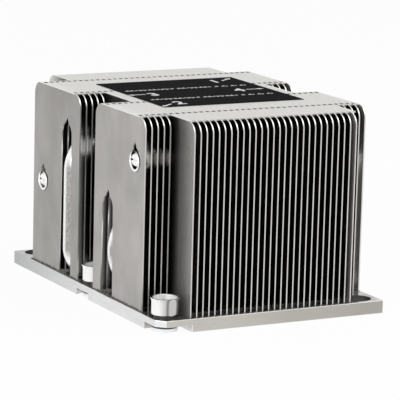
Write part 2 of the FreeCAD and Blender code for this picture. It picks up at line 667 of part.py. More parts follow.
def make_washers():
    """Nylon washers pushed on the necks from below. They are alike, so they share one node."""
    washers = []
    for number, (x, y) in enumerate(NUT_PLACES, start=1):
        disc = primitive("Part::Cylinder", f"washer_{number}_disc", {
            "Radius": "Sizes.washer_diameter / 2", "Height": "Sizes.washer_thickness",
        }, x, y, WASHER_FOOT)
        bore = primitive("Part::Cylinder", f"washer_{number}_bore", {
            "Radius": "Sizes.nut_neck_diameter / 2 + Sizes.washer_clearance",
            "Height": "Sizes.washer_thickness * 2",
        }, x, y, f"{WASHER_FOOT} - Sizes.washer_thickness / 2")
        washer = doc.addObject("Part::Cut", f"washer_{number}")
        washer.Base = disc
        washer.Tool = bore
        washers.append(washer)
    group = doc.addObject("Part::Compound", "nut_washers")
    group.Label = "nut_washers"
    group.Links = washers
    nodes.append(group)


def make_label():
    body = new_body("top_label")
    outline = new_sketch(body, "label_outline", "XY_Plane", "Sizes.fin_top")
    half_width, half_depth = "Sizes.label_width / 2", "Sizes.label_depth / 2"
    rectangle(
        outline,
        f"Sizes.label_offset_right - {half_width}", f"Sizes.label_offset_right + {half_width}",
        f"Sizes.label_offset_back - {half_depth}", f"Sizes.label_offset_back + {half_depth}",
    )
    pad(body, "label_sheet", outline, "Sizes.label_thickness")


# ---------------------------------------------------------------- build, check and write

make_base_plate()
for pipe in PIPES:
    make_heat_pipe(*pipe)
make_fins()
make_nuts()
make_washers()
make_label()
doc.recompute()

for item in doc.Objects:
    if "Invalid" in item.State or "Error" in item.State:
        raise RuntimeError(f"{item.Label} did not build: {item.State}")
    cuts = item.TypeId == "PartDesign::Pocket" or item.TypeId.startswith("PartDesign::Subtractive")
    if cuts and item.Shape.Volume > item.BaseFeature.Shape.Volume - 0.001:
        raise RuntimeError(f"{item.Label} cuts nothing")
for node in nodes:
    if node.Shape.isNull() or not node.Shape.isValid() or not node.Shape.Solids:
        raise RuntimeError(f"{node.Label} has no valid solid")
for node in nodes:
    node.Shape.exportStep(f"parts/{node.Label}.step")
    print(f"{node.Label}: {len(node.Shape.Solids)} solid(s), {node.Shape.Volume:.1f} mm3")
print(f"{len(nodes)} nodes")
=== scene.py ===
"""Looks of a passive 2U processor heatsink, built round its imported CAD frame. Units are metres."""

import math
import random
from collections import namedtuple

import bmesh
import bpy
from mathutils import Matrix, Vector


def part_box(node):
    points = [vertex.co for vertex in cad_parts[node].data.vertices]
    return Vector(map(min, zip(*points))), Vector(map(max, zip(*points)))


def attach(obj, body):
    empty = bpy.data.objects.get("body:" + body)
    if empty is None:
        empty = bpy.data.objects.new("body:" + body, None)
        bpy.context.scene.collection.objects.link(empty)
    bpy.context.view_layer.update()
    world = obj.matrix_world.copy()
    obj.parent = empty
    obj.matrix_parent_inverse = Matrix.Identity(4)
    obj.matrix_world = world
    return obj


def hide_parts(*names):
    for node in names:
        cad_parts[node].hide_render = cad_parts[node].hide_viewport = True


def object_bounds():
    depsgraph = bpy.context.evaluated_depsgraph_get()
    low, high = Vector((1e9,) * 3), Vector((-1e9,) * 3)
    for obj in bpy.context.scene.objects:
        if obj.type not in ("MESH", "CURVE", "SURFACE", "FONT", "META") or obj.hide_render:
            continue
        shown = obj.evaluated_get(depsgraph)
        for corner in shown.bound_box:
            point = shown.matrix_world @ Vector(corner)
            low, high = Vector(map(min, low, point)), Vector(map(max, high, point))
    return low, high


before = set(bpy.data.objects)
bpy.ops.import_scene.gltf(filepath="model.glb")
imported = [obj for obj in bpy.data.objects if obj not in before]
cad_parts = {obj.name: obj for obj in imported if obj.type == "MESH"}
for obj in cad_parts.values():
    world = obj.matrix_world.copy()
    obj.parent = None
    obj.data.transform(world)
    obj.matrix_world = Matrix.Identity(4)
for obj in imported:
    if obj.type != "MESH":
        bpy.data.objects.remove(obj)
cad_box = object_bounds()

MM = 0.001
BODY = "heatsink"

# ---------------------------------------------------------------- places, from the frame

def count_of(prefix):
    """How many CAD nodes have a name with this start."""
    return sum(node.startswith(prefix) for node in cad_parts)


PIPE_COUNT = count_of("heat_pipe_")
NUT_COUNT = count_of("captive_nut_")
MAIN_FINS = count_of("main_fin_")
SPLIT_FINS = count_of("left_front_fin_")  # as many in each of the four quarters
SIDE_PLATES = ("left_front_fin_1", "left_back_fin_1",
               f"right_front_fin_{SPLIT_FINS}", f"right_back_fin_{SPLIT_FINS}")

base_low, base_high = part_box("base_plate")
label_low, label_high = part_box("top_label")
fin_low, fin_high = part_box("main_fin_1")
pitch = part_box("main_fin_2")[0].x - fin_low.x
stack_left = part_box(SIDE_PLATES[0])[0].x
stack_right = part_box(SIDE_PLATES[2])[1].x
fin_top = fin_high.z
notch_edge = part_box("left_back_fin_1")[1].y  # outer edge of the split fins, along Y
plate_top = base_high.z


# ---------------------------------------------------------------- materials

def colour(red, green, blue):
    """A linear colour from one written in 0 to 255 display values."""
    def channel(number):
        share = number / 255
        return share / 12.92 if share <= 0.04045 else ((share + 0.055) / 1.055) ** 2.4
    return (channel(red), channel(green), channel(blue), 1.0)


# a mix node's sockets share their names, so its two inputs and its output go by number
MIX_SOCKETS = {"FLOAT": (2, 3, 0), "RGBA": (6, 7, 2)}


class Material:
    """A node material under construction, with object coordinates in metres."""

    def __init__(self, name, metallic=0.0, ior=1.45):
        self.material = bpy.data.materials.new(name)
        self.material.use_nodes = True
        self.tree = self.material.node_tree
        self.shader = self.tree.nodes["Principled BSDF"]
        self.shader.inputs["Metallic"].default_value = metallic
        self.shader.inputs["IOR"].default_value = ior
        self.place = self.add("ShaderNodeTexCoord").outputs["Object"]

    def add(self, kind, **settings):
        """A new node, with some of its own settings."""
        node = self.tree.nodes.new(kind)
        for name, setting in settings.items():
            setattr(node, name, setting)
        return node

    def feed(self, socket, source):
        """Links an output, or sets a plain number or colour."""
        if isinstance(source, bpy.types.NodeSocket):
            self.tree.links.new(source, socket)
        else:
            socket.default_value = source

    def noise(self, size, stretch=(1, 1, 1), detail=3.0, rough=0.5):
        """Noise whose cells are about size metres wide, times the stretch along each axis."""
        scaled = self.add("ShaderNodeMapping")
        self.feed(scaled.inputs["Vector"], self.place)
        scaled.inputs["Scale"].default_value = [1 / (size * share) for share in stretch]
        noise = self.add("ShaderNodeTexNoise")
        self.feed(noise.inputs["Vector"], scaled.outputs["Vector"])
        noise.inputs["Scale"].default_value = 1.0
        noise.inputs["Detail"].default_value = detail
        noise.inputs["Roughness"].default_value = rough
        return noise.outputs["Fac"]

    def spread(self, source, low, high, start=0.0, end=1.0):
        """Maps start..end of a source to low..high, clamped."""
        ranged = self.add("ShaderNodeMapRange")
        self.feed(ranged.inputs["Value"], source)
        for name, number in (("From Min", start), ("From Max", end), ("To Min", low), ("To Max", high)):
            ranged.inputs[name].default_value = number
        return ranged.outputs["Result"]

    def rising(self, source, start, end):
        """A mask that goes from 0 to 1 while the source goes from start to end."""
        return self.spread(source, 0, 1, start, end)

    def falling(self, source, start, end):
        """A mask that goes from 1 to 0 while the source goes from start to end."""
        return self.spread(source, 1, 0, start, end)

    def blend(self, kind, factor, first, second):
        """Two sources of one kind, mixed by a factor."""
        mixed = self.add("ShaderNodeMix", data_type=kind)
        first_input, second_input, result = MIX_SOCKETS[kind]
        self.feed(mixed.inputs["Factor"], factor)
        self.feed(mixed.inputs[first_input], first)
        self.feed(mixed.inputs[second_input], second)
        return mixed.outputs[result]

    def mix(self, factor, first, second):
        """Two colours, mixed by a factor."""
        return self.blend("RGBA", factor, first, second)

    def mixed_number(self, factor, first, second):
        """Two numbers, mixed by a factor."""
        return self.blend("FLOAT", factor, first, second)

    def maths(self, operation, first, second=0.0):
        """The result of a sum on one or two sources."""
        node = self.add("ShaderNodeMath", operation=operation)
        self.feed(node.inputs[0], first)
        self.feed(node.inputs[1], second)
        return node.outputs[0]

    def away_from(self, source, middle):
        """How far a source is from a number, either way."""
        return self.maths("ABSOLUTE", self.maths("SUBTRACT", source, middle))

    def normal_part(self, axis):
        """How much a face looks along one axis, either way."""
        normal = self.add("ShaderNodeSeparateXYZ")
        self.feed(normal.inputs[0], self.add("ShaderNodeTexCoord").outputs["Normal"])
        return self.maths("ABSOLUTE", normal.outputs[axis])

    def facing(self, direction):
        """How much a face looks along one direction, from -1 to 1."""
        product = self.add("ShaderNodeVectorMath", operation="DOT_PRODUCT")
        self.feed(product.inputs[0], self.add("ShaderNodeTexCoord").outputs["Normal"])
        product.inputs[1].default_value = direction
        return product.outputs["Value"]

    def along(self, axis):
        """The place along one axis, in metres."""
        place = self.add("ShaderNodeSeparateXYZ")
        self.feed(place.inputs[0], self.place)
        return place.outputs[axis]

    def bump(self, height, depth, strength):
        """Small relief, up to depth metres."""
        node = self.add("ShaderNodeBump")
        node.inputs["Distance"].default_value = depth
        node.inputs["Strength"].default_value = strength
        self.feed(node.inputs["Height"], height)
        self.feed(self.shader.inputs["Normal"], node.outputs["Normal"])

    def finish(self, base, roughness):
        """The finished material, with its colour and roughness."""
        self.feed(self.shader.inputs["Base Color"], base)
        self.feed(self.shader.inputs["Roughness"], roughness)
        return self.material


def milled_aluminium():
    """Base plate: a milled bar with tool marks along its sides and a smooth, mirror-like top."""
    look = Material("milled_aluminium", metallic=0.8)
    marks = look.noise(0.5 * MM, stretch=(14, 14, 0.35), detail=4)
    drift = look.noise(26 * MM, stretch=(1, 1, 3), detail=1)
    stains = look.noise(3 * MM, detail=4)

    # painted light and shade: the flanks are painted lighter from the back to just past the middle, and the
    # front is painted darker to the right
    forward = look.rising(look.along("Y"), base_high.y, base_low.y * 0.1)
    flank = look.mix(look.mixed_number(0.1, forward, drift), colour(178, 179, 180), colour(231, 232, 232))
    across = look.rising(look.along("X"), base_low.x, base_high.x)
    front = look.mix(look.mixed_number(0.4, across, drift), colour(208, 204, 198), colour(160, 156, 150))
    # the flanks, the front and the top each take their own tone, painted for how light falls on each face
    side = look.mix(look.rising(look.normal_part("Y"), 0.9, 0.98), flank, front)
    side = look.mix(look.spread(marks, 0, 0.3, 0.45, 0.75), side, colour(168, 164, 158))
    top = look.mix(look.rising(stains, 0.35, 0.7), colour(150, 148, 144), colour(196, 195, 192))

    is_top = look.rising(look.normal_part("Z"), 0.9, 0.98)
    rough = look.mixed_number(is_top, look.spread(marks, 0.3, 0.48), look.spread(stains, 0.1, 0.2))
    look.bump(marks, 0.02 * MM, 0.4)
    return look.finish(look.mix(is_top, side, top), rough)


# a painted glint on a web, standing in for a pipe's reflection: its middle height, half its height, the web's
# front edge, and a tone
Gleam = namedtuple("Gleam", "height half front tone")
GLEAM_BLUR = 1 * MM  # either way, at the patch's upper and lower edge
GLEAM_FADE = (2 * MM, 5 * MM)  # the patch fades between these distances from the web's front edge
GLEAM_METAL = 0.5

SHEET_TONES = (colour(206, 205, 201), colour(222, 221, 217))  # flanges and sheared edges
SHADE_TONE = colour(60, 59, 57)  # painted shade on webs behind the split fins and on the walls of openings
SHADE_END_GAP = 1 * MM  # how far the painted shade on a full fin stays from the fin's own end


def fin_sheet(name, web_dark, web_light, web_rough, web_metal=1.0, dark_inside=False, gleam=None):
    """Rolled aluminium fin: bright sheared edges and folded flanges, and webs in their own tone."""
    look = Material(name)
    rolled = look.noise(0.6 * MM, stretch=(1, 1, 16), detail=4)
    cloud = look.noise(11 * MM, stretch=(1, 1, 1.5), detail=2)
    web = look.mix(look.rising(cloud, 0.3, 0.7), web_dark, web_light)
    if dark_inside:
        # painted shade: the web is darkened where it passes behind the split fins
        inside = look.falling(look.away_from(look.along("Y"), 0), notch_edge, fin_high.y - SHADE_END_GAP)
        web = look.mix(inside, web, SHADE_TONE)
    if gleam:
        # painted reflection of a pipe: a light patch at the front of the split fins, beside the pipe
        near_height = look.falling(look.away_from(look.along("Z"), gleam.height),
                                   gleam.half - GLEAM_BLUR, gleam.half + GLEAM_BLUR)
        fade_start, fade_end = (gleam.front + distance for distance in GLEAM_FADE)
        patch = look.maths("MULTIPLY", near_height, look.falling(look.along("Y"), fade_start, fade_end))
        web = look.mix(patch, web, gleam.tone)
        web_metal = look.mixed_number(patch, web_metal, GLEAM_METAL)
    edge = look.mix(look.rising(rolled, 0.35, 0.65), *SHEET_TONES)
    is_web = look.rising(look.normal_part("X"), 0.3, 0.6)
    rough = look.mixed_number(is_web, look.spread(rolled, 0.3, 0.45),
                              look.spread(rolled, web_rough, web_rough + 0.1))
    look.feed(look.shader.inputs["Metallic"], look.mixed_number(is_web, 0.75, web_metal))
    look.bump(rolled, 0.008 * MM, 0.3)
    return look.finish(look.mix(is_web, edge, web), rough)


SHADED_SIDE = (0.88, -0.47, 0.0)  # the way that the nut's side painted in shade looks, in its rest pose
REFLECTION_LINE = 0.22  # how much a nut's body looks that way at its painted dark reflection line


def plated(name, dark, light, roughness, mark_size, metallic=0.96, shaded=False):
    """Bright nickel plating with faint drawn lines and small marks."""
    look = Material(name, metallic=metallic)
    lines = look.noise(0.45 * MM, stretch=(1, 1, 9), detail=3)
    marks = look.noise(mark_size, detail=4, rough=0.65)
    streaked = look.mix(look.spread(lines, 0, 0.35, 0.5, 0.75), light, dark)
    tone = look.mix(look.rising(marks, 0.6, 0.85), streaked, dark)
    if shaded:
        # painted shade and reflection: the turned body is painted grey along one side, with one dark line down
        # it for a reflection
        turned = look.facing(SHADED_SIDE)
        tone = look.mix(look.rising(turned, -0.4, 0.1), tone, colour(196, 195, 193))
        on_line = look.falling(look.away_from(turned, REFLECTION_LINE), 0.0, 0.15)
        tone = look.mix(on_line, tone, colour(120, 119, 117))
    look.bump(lines, 0.004 * MM, 0.25)
    return look.finish(tone, look.spread(marks, roughness, roughness + 0.12))


def drawn_pipe():
    """Plated tube: bright on its bends, and painted darker on the front of its upright parts as shade."""
    look = Material("plated_copper", metallic=0.95)
    marks = look.noise(0.7 * MM, stretch=(1, 1, 1.6), detail=5, rough=0.7)
    bright = look.mix(look.rising(marks, 0.55, 0.8), colour(250, 250, 249), colour(206, 204, 200))
    # painted shade for the front of the upright parts
    front_shade = look.mix(look.rising(marks, 0.4, 0.65), colour(184, 181, 177), colour(146, 143, 139))
    is_front = look.rising(look.facing((0, -1, 0)), 0.12, 0.4)
    is_upright = look.falling(look.normal_part("Z"), 0.05, 0.3)
    look.bump(marks, 0.012 * MM, 0.4)
    return look.finish(look.mix(look.maths("MULTIPLY", is_front, is_upright), bright, front_shade),
                       look.spread(marks, 0.14, 0.3))


def shaded_nut_foot():
    """The shoulder and neck of a nut, painted dark as the shade under its body."""
    look = Material("shaded_nut_foot", metallic=0.6)
    film = look.noise(0.8 * MM, detail=3)
    look.bump(film, 0.02 * MM, 0.3)
    return look.finish(look.mix(film, colour(34, 32, 30), colour(88, 85, 81)), look.spread(film, 0.25, 0.45))


def nylon():
    """White nylon. It is partly metallic, so that it mirrors the white room as much as in the photo."""
    look = Material("nylon", metallic=0.5, ior=1.53)
    cloud = look.noise(1.5 * MM, detail=3)
    look.bump(cloud, 0.02 * MM, 0.3)
    return look.finish(look.mix(cloud, colour(232, 236, 240), colour(250, 252, 253)),
                       look.spread(cloud, 0.3, 0.5))


def label_film():
    """Black polyester film with a faint orange-peel surface."""
    look = Material("label_film")
    look.shader.inputs["Specular IOR Level"].default_value = 0.01
    peel = look.noise(0.4 * MM, detail=3)
    cloud = look.noise(12 * MM, detail=2)
    look.bump(peel, 0.01 * MM, 0.5)
    return look.finish(look.mix(cloud, colour(12, 12, 13), colour(20, 20, 21)), look.spread(peel, 0.6, 0.8))


def label_ink():
    """White print with a fine speckle."""
    look = Material("label_ink")
    speckle = look.noise(0.25 * MM, detail=4)
    return look.finish(look.mix(look.rising(speckle, 0.3, 0.6), colour(196, 196, 194), colour(238, 238, 236)),
                       look.spread(speckle, 0.5, 0.7))


def slot_shade():
    """The dark inside of the interlock slots in the flanges."""
    look = Material("slot_shade", metallic=0.4)
    speckle = look.noise(0.3 * MM, detail=3)
    return look.finish(look.mix(speckle, colour(18, 18, 17), colour(46, 45, 43)),
                       look.spread(speckle, 0.6, 0.85))


def solder():
    """Dull tin solder with flux stains, in the seam between fins and base."""
    look = Material("solder", metallic=0.6)
    grain = look.noise(0.5 * MM, detail=5, rough=0.7)
    look.bump(grain, 0.08 * MM, 0.8)
    return look.finish(look.mix(look.rising(grain, 0.35, 0.65), colour(40, 39, 37), colour(150, 148, 143)),
                       look.spread(grain, 0.4, 0.7))


# ---------------------------------------------------------------- mesh helpers

def new_piece(name, mesh, material, body=BODY):
    """A finished piece of the object that rides on a body."""
    piece = bpy.data.objects.new(name, mesh)
    bpy.context.scene.collection.objects.link(piece)
    mesh.materials.append(material)
    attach(piece, body)
    return piece


def mesh_from(name, build):
    """A mesh made by a function that fills a bmesh."""
    shape = bmesh.new()
    build(shape)
    bmesh.ops.recalc_face_normals(shape, faces=shape.faces)
    mesh = bpy.data.meshes.new(name)
    shape.to_mesh(mesh)
    shape.free()
    return mesh


def add_prism(shape, outline, low, high):
    """A closed prism over a flat outline given as X, Y pairs."""
    bottom = [shape.verts.new((x, y, low)) for x, y in outline]
    top = [shape.verts.new((x, y, high)) for x, y in outline]
    shape.faces.new(top)
    shape.faces.new(bottom[::-1])
    for index, corner in enumerate(bottom):
        following = (index + 1) % len(bottom)
        shape.faces.new((corner, bottom[following], top[following], top[index]))


def bridge(shape, ring, following):
    """The faces between two rings of as many corners."""
    faces = []
    for corner in range(len(ring)):
        beside = (corner + 1) % len(ring)
        faces.append(shape.faces.new((ring[corner], ring[beside], following[beside], following[corner])))
    return faces


def rectangle(centre_x, centre_y, width, depth):
    """The outline of a rectangle, as X, Y pairs."""
    x, y = width / 2, depth / 2
    return [(centre_x - x, centre_y - y), (centre_x + x, centre_y - y),
            (centre_x + x, centre_y + y), (centre_x - x, centre_y + y)]


def turns(span, steps):
    """Angles from 0 to a span, both ends included."""
    return [span * step / steps for step in range(steps + 1)]


def full_turn(sides):
    """Angles once round, without the last one, which would be the first again."""
    return [2 * math.pi * side / sides for side in range(sides)]


QUARTER = math.pi / 2
ROUND_STEPS = 6  # faces over a small rounding


# ---------------------------------------------------------------- heat pipes

PIPE_SIDES = 48
HIGH_BENDS = (12 * MM, 9 * MM)  # upper and lower bend of the high pipes, to the pipe's axis
LOW_BENDS = (14 * MM, 14 * MM)  # the same for the low pipes
HIGH_REACH, LOW_REACH = 0.45 * MM, -0.5 * MM  # how far the bends stand out of the solid's, or in
HIGH_FROM = 0.6  # a pipe is a high one above this share of the fins' height
BEND_STEPS = 20
LEG_END = 29 * MM  # far end of the lower legs, from the middle along X
PRESS_RAMP = 3.0 * MM  # length over which the lower leg goes from round to flat
RAMP_STEPS = 5

TIP_LENGTH = 2.6 * MM
TIP_STEPS = 12
TIP_ROUND, TIP_STRETCH = 0.7, 1.8  # powers that make the dome nearly flat at its middle
TIP_LEAST = 0.02  # size of the first ring, as a share of the pipe
CRIMP_WIDTH = 0.13  # of the crimp's groove, as a share of the radius
CRIMP_DEPTH = 0.8 * MM
CRIMP_SQUEEZE = 0.22  # how much flatter the crimped end is
CRIMP_RATE, SQUEEZE_RATE = 1.6, 1.5  # how fast the two grow towards the end


def arc_points(centre_x, centre_z, radius, start, end):
    """Stations round a bend as X, Z, and the direction of travel."""
    for step in range(1, BEND_STEPS + 1):
        angle = math.radians(start + (end - start) * step / BEND_STEPS)
        x = centre_x + radius * math.cos(angle)
        z = centre_z + radius * math.sin(angle)
        yield x, z, (-math.sin(angle), math.cos(angle))


def pipe_stations(tip, riser, upper, lower, bends):
    """X, Z, direction and size along a pipe with its bends to the left, from the closed tip."""
    stations = []
    upper_bend, lower_bend = bends
    for step in range(TIP_STEPS + 1):
        share = step / TIP_STEPS
        size = math.sin(share * QUARTER) ** TIP_ROUND
        stations.append((tip - TIP_LENGTH * share ** TIP_STRETCH, upper, (-1, 0), max(size, TIP_LEAST)))
    stations.append((riser + upper_bend, upper, (-1, 0), 1))
    stations += [(x, z, way, 1) for x, z, way in
                 arc_points(riser + upper_bend, upper - upper_bend, upper_bend, 90, 180)]
    stations += [(x, z, way, 1) for x, z, way in
                 arc_points(riser + lower_bend, lower + lower_bend, lower_bend, 180, 270)]
    for step in range(1, RAMP_STEPS + 2):
        stations.append((riser + lower_bend + PRESS_RAMP * step / RAMP_STEPS, lower, (1, 0), 1))
    stations.append((LEG_END, lower, (1, 0), 1))
    return stations


def crimp(point, tip, axis_z, radius):
    """Pinches the closed end into two lobes, above and below a level seam."""
    depth = 1 - (tip - point.x) / TIP_LENGTH
    if depth <= 0:
        return
    height = (point.z - axis_z) / radius
    groove = math.exp(-(height / CRIMP_WIDTH) ** 2) * min(depth * CRIMP_RATE, 1)
    point.x -= CRIMP_DEPTH * groove
    point.z = axis_z + (point.z - axis_z) * (1 - CRIMP_SQUEEZE * min(depth * SQUEEZE_RATE, 1))


def press(point, beyond_bend, leg_top):
    """Flattens the top of the lower leg down to the plate, over a short ramp."""
    ramp = min(beyond_bend / PRESS_RAMP, 1)
    limit = leg_top + (plate_top - leg_top) * ramp
    point.z = min(point.z, limit)


def pipe_mesh(name, low, high):
    """One U-bent pipe: crimped closed tip, two bends, and a lower leg pressed flush."""
    radius = (high.y - low.y) / 2
    middle_y = (high.y + low.y) / 2
    turn = 1 if abs(low.x) < abs(high.x) else -1  # 1 where the bends are at the left
    tip = max(abs(low.x), abs(high.x))
    upper, lower = high.z - radius, low.z + radius
    bends, reach = (HIGH_BENDS, HIGH_REACH) if upper > fin_top * HIGH_FROM else (LOW_BENDS, LOW_REACH)
    riser = -min(abs(low.x), abs(high.x)) + radius - reach
    flat_from = riser + bends[1]

    def build(shape):
        rings = []
        for x, z, (along_x, along_z), size in pipe_stations(tip, riser, upper, lower, bends):
            ring = []
            for angle in full_turn(PIPE_SIDES):
                across, out = math.cos(angle) * radius * size, math.sin(angle) * radius * size
                point = Vector((x - along_z * out, across, z + along_x * out))
                crimp(point, tip, upper, radius)
                if z == lower and x > flat_from:
                    press(point, x - flat_from, lower + radius)
                ring.append(shape.verts.new((turn * point.x, middle_y + turn * point.y, point.z)))
            rings.append(ring)
        for index, (ring, following) in enumerate(zip(rings, rings[1:])):
            for face in bridge(shape, ring, following):
                face.material_index = 1 if index < TIP_STEPS else 0
        shape.faces.new(rings[0]).material_index = 1
        shape.faces.new(rings[-1])
        for face in shape.faces:
            face.smooth = len(face.verts) == 4

    return mesh_from(name, build)


def make_pipes():
    """The four pipes in place of the solids, with a second material on their tips."""
    tube = drawn_pipe()
    tip = plated("plated_tip", colour(190, 188, 184), colour(250, 250, 249), 0.1, 1.5 * MM)
    for number in range(1, PIPE_COUNT + 1):
        node = f"heat_pipe_{number}"
        mesh = pipe_mesh(f"bent_pipe_{number}", *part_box(node))
        pipe = new_piece(f"bent_pipe_{number}", mesh, tube)
        mesh.materials.append(tip)
        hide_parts(node)


RING_INNER = 2.85 * MM  # inner radius of a solder ring
RING_WIDEST = 0.75 * MM  # its width below the pipe
RING_THIN = 0.1  # its width above the pipe, as a share of the widest
RING_POOLING = 1.5  # how fast it widens from the one to the other
RING_BULGE = 0.2 * MM
RING_SUNK = 0.5 * MM


def make_solder_rings():
    """Bright solder round each closed pipe end, thin at the top and pooled below the pipe."""
    # shares of the ring's width, and how far out of the plate
    profile = [(0, -RING_SUNK), (1, -RING_SUNK)]
    profile += [(0.5 + 0.5 * math.cos(turn), RING_BULGE * math.sin(turn))
                for turn in turns(math.pi, ROUND_STEPS)]

    def build(shape):
        for number in range(1, PIPE_COUNT + 1):
            low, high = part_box(f"heat_pipe_{number}")
            face, out = (stack_right, 1) if abs(high.x) > abs(low.x) else (stack_left, -1)
            middle_y = (high.y + low.y) / 2
            middle_z = high.z - (high.y - low.y) / 2
            rings = []
            for angle in full_turn(PIPE_SIDES):
                lowness = 0.5 - 0.5 * math.sin(angle)
                width = RING_WIDEST * (RING_THIN + (1 - RING_THIN) * lowness ** RING_POOLING)
                ring = []
                for share, rise in profile:
                    reach = RING_INNER + width * share
                    ring.append(shape.verts.new((face + out * rise, middle_y + reach * math.cos(angle),
                                                 middle_z + reach * math.sin(angle))))
                rings.append(ring)
            for ring, following in zip(rings, rings[1:] + rings[:1]):
                bridge(shape, ring, following)

    mesh = mesh_from("solder_rings", build)
    mesh.shade_smooth()
    bright = plated("bright_solder", colour(200, 199, 196), colour(251, 251, 250), 0.12, 1.5 * MM)
    new_piece("solder_rings", mesh, bright)


# ---------------------------------------------------------------- details on the fins

INTERLOCK_ROWS = (11.7 * MM, 34.7 * MM)  # rows of hooks, either side of the middle, along Y
INTERLOCK_SHIFT = 0.6  # place of the hooks between two fins, as a share of the pitch
SLOT_LENGTH = 1.1 * MM
SLOT_WIDTH = 1.9 * MM
TAB_LENGTH = SLOT_LENGTH * 0.8
TAB_WIDTH = 0.3 * MM
HOOK_SUNK = 0.05 * MM
SLOT_RISE, TAB_RISE = 0.01 * MM, 0.04 * MM

FIN_CORNER = 4 * MM  # radius of the fins' upper corners
SEAM_WIDTH = 0.16 * MM
SEAM_SUNK, SEAM_RISE = 0.1 * MM, 0.003 * MM
FOLD_RADIUS = 0.16 * MM
FOLD_OUT, FOLD_RISE = 0.03 * MM, 0.01 * MM  # how far a fold stands out of its plate, and up


def under_label(x, y):
    """Whether a place on the top is covered by the label."""
    return label_low.x < x < label_high.x and label_low.y < y < label_high.y


def make_interlocks():
    """Each flange hooks into the next through a small slot, four rows of them on the top."""
    count = round((stack_right - stack_left) / pitch)
    places = [(stack_left + pitch * (index + INTERLOCK_SHIFT), side * row) for row in INTERLOCK_ROWS
              for side in (-1, 1) for index in range(count)]
    places = [(x, y) for x, y in places if not under_label(x, y)]

    def slots(shape):
        for x, y in places:
            add_prism(shape, rectangle(x, y, SLOT_LENGTH, SLOT_WIDTH), fin_top - HOOK_SUNK, fin_top + SLOT_RISE)

    def tabs(shape):
        for x, y in places:
            add_prism(shape, rectangle(x, y - SLOT_WIDTH / 2, TAB_LENGTH, TAB_WIDTH),
                      fin_top - HOOK_SUNK, fin_top + TAB_RISE)

    new_piece("interlock_slots", mesh_from("interlock_slots", slots), slot_shade())
    # the tabs are painted lighter than the flanges, as a highlight along each tab's edge
    bright = fin_sheet("tab_sheet", colour(222, 221, 217), colour(240, 239, 236), 0.3)
    new_piece("interlock_tabs", mesh_from("interlock_tabs", tabs), bright)


def make_seams():
    """Closed seams between the flanges, and the rounded upper fold of each outer plate."""
    flange = fin_sheet("flange_sheet", *SHEET_TONES, 0.34, web_metal=0.75)

    def seams(shape):
        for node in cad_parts:
            if "_fin_" in node and node not in SIDE_PLATES:
                low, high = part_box(node)
                first, last = low.y + FIN_CORNER, high.y - FIN_CORNER
                for x in (low.x, high.x):
                    add_prism(shape, rectangle(x, (first + last) / 2, SEAM_WIDTH, last - first),
                              fin_top - SEAM_SUNK, fin_top + SEAM_RISE)

    def folds(shape):
        for node in SIDE_PLATES:
            low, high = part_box(node)
            face, out = (low.x, -1) if low.x < 0 else (high.x, 1)
            outline = [(face - out * FOLD_RADIUS * (1 - math.cos(turn)) + out * FOLD_OUT,
                        fin_top - FOLD_RADIUS * (1 - math.sin(turn)) + FOLD_RISE)
                       for turn in turns(QUARTER, ROUND_STEPS)]
            outline.append((face - out * FOLD_RADIUS, fin_top - FOLD_RADIUS))
            ends = []
            for y in (low.y + FIN_CORNER, high.y - FIN_CORNER):
                ends.append([shape.verts.new((x, y, z)) for x, z in outline])
                shape.faces.new(ends[-1])
            bridge(shape, *ends)

    new_piece("flange_seams", mesh_from("flange_seams", seams), flange)
    # the fold is rounded, and painted much lighter than its plate as a highlight along it
    fold_highlight = plated("painted_fold_highlight", colour(222, 221, 218), colour(252, 252, 251), 0.2, 2 * MM)
    new_piece("plate_folds", mesh_from("plate_folds", folds), fold_highlight)


# ---------------------------------------------------------------- base plate and solder

EDGE_BREAK = 0.2 * MM
MERGE_DISTANCE = 0.001 * MM
FLAT_ANGLE = math.radians(1)  # faces that meet at less than this become one
EDGE_ANGLE = math.radians(30)  # edges sharper than this are broken
RIM_SLACK = 0.01 * MM
OPENING_INSET = 1 * MM  # openings are further than this from the outline
WALL_LEAN = 0.5  # a face whose normal rises or falls by less is a wall

BEAD_LENGTH = (0.5, 1.6)  # shortest and longest blob of solder, in millimetres
BEAD_THICKNESS = (0.1, 0.3)  # thinnest and thickest
BEAD_HEIGHT = (0.15, 0.55)  # lowest and highest
BEAD_STEP = (0.9, 1.25)  # from one blob to the next, in lengths of the first


def on_rim(point):
    """Whether a corner lies on the base plate's outer outline."""
    return (point.x < base_low.x + RIM_SLACK or point.x > base_high.x - RIM_SLACK
            or point.y < base_low.y + RIM_SLACK or point.y > base_high.y - RIM_SLACK)


def is_opening(face):
    """Whether a wall belongs to an opening in the top of the base plate."""
    corners = [corner.co for corner in face.verts]
    return (max(corner.z for corner in corners) > plate_top - RIM_SLACK
            and all(base_low.x + OPENING_INSET < corner.x < base_high.x - OPENING_INSET
                    and base_low.y + OPENING_INSET < corner.y < base_high.y - OPENING_INSET
                    for corner in corners))


def make_base():
    """The base plate with its outer edges broken by a small bevel."""
    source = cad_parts["base_plate"]

    def build(shape):
        shape.from_mesh(source.data)
        shape.transform(source.matrix_world)
        bmesh.ops.remove_doubles(shape, verts=shape.verts, dist=MERGE_DISTANCE)
        bmesh.ops.dissolve_limit(shape, angle_limit=FLAT_ANGLE, verts=shape.verts, edges=shape.edges)
        outer = [edge for edge in shape.edges if len(edge.link_faces) == 2
                 and edge.calc_face_angle() > EDGE_ANGLE and all(on_rim(end.co) for end in edge.verts)]
        bmesh.ops.bevel(shape, geom=outer, offset=EDGE_BREAK, segments=2, profile=0.5, affect="EDGES",
                        clamp_overlap=True)
        # the walls of openings get the second material, painted dark as the shade inside them
        for face in shape.faces:
            if abs(face.normal.z) < WALL_LEAN and is_opening(face):
                face.material_index = 1

    base = new_piece("milled_base", mesh_from("milled_base", build), milled_aluminium())
    base.data.materials.append(plated("opening_wall", SHADE_TONE, colour(104, 102, 99), 0.4, 2 * MM))
    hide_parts("base_plate")


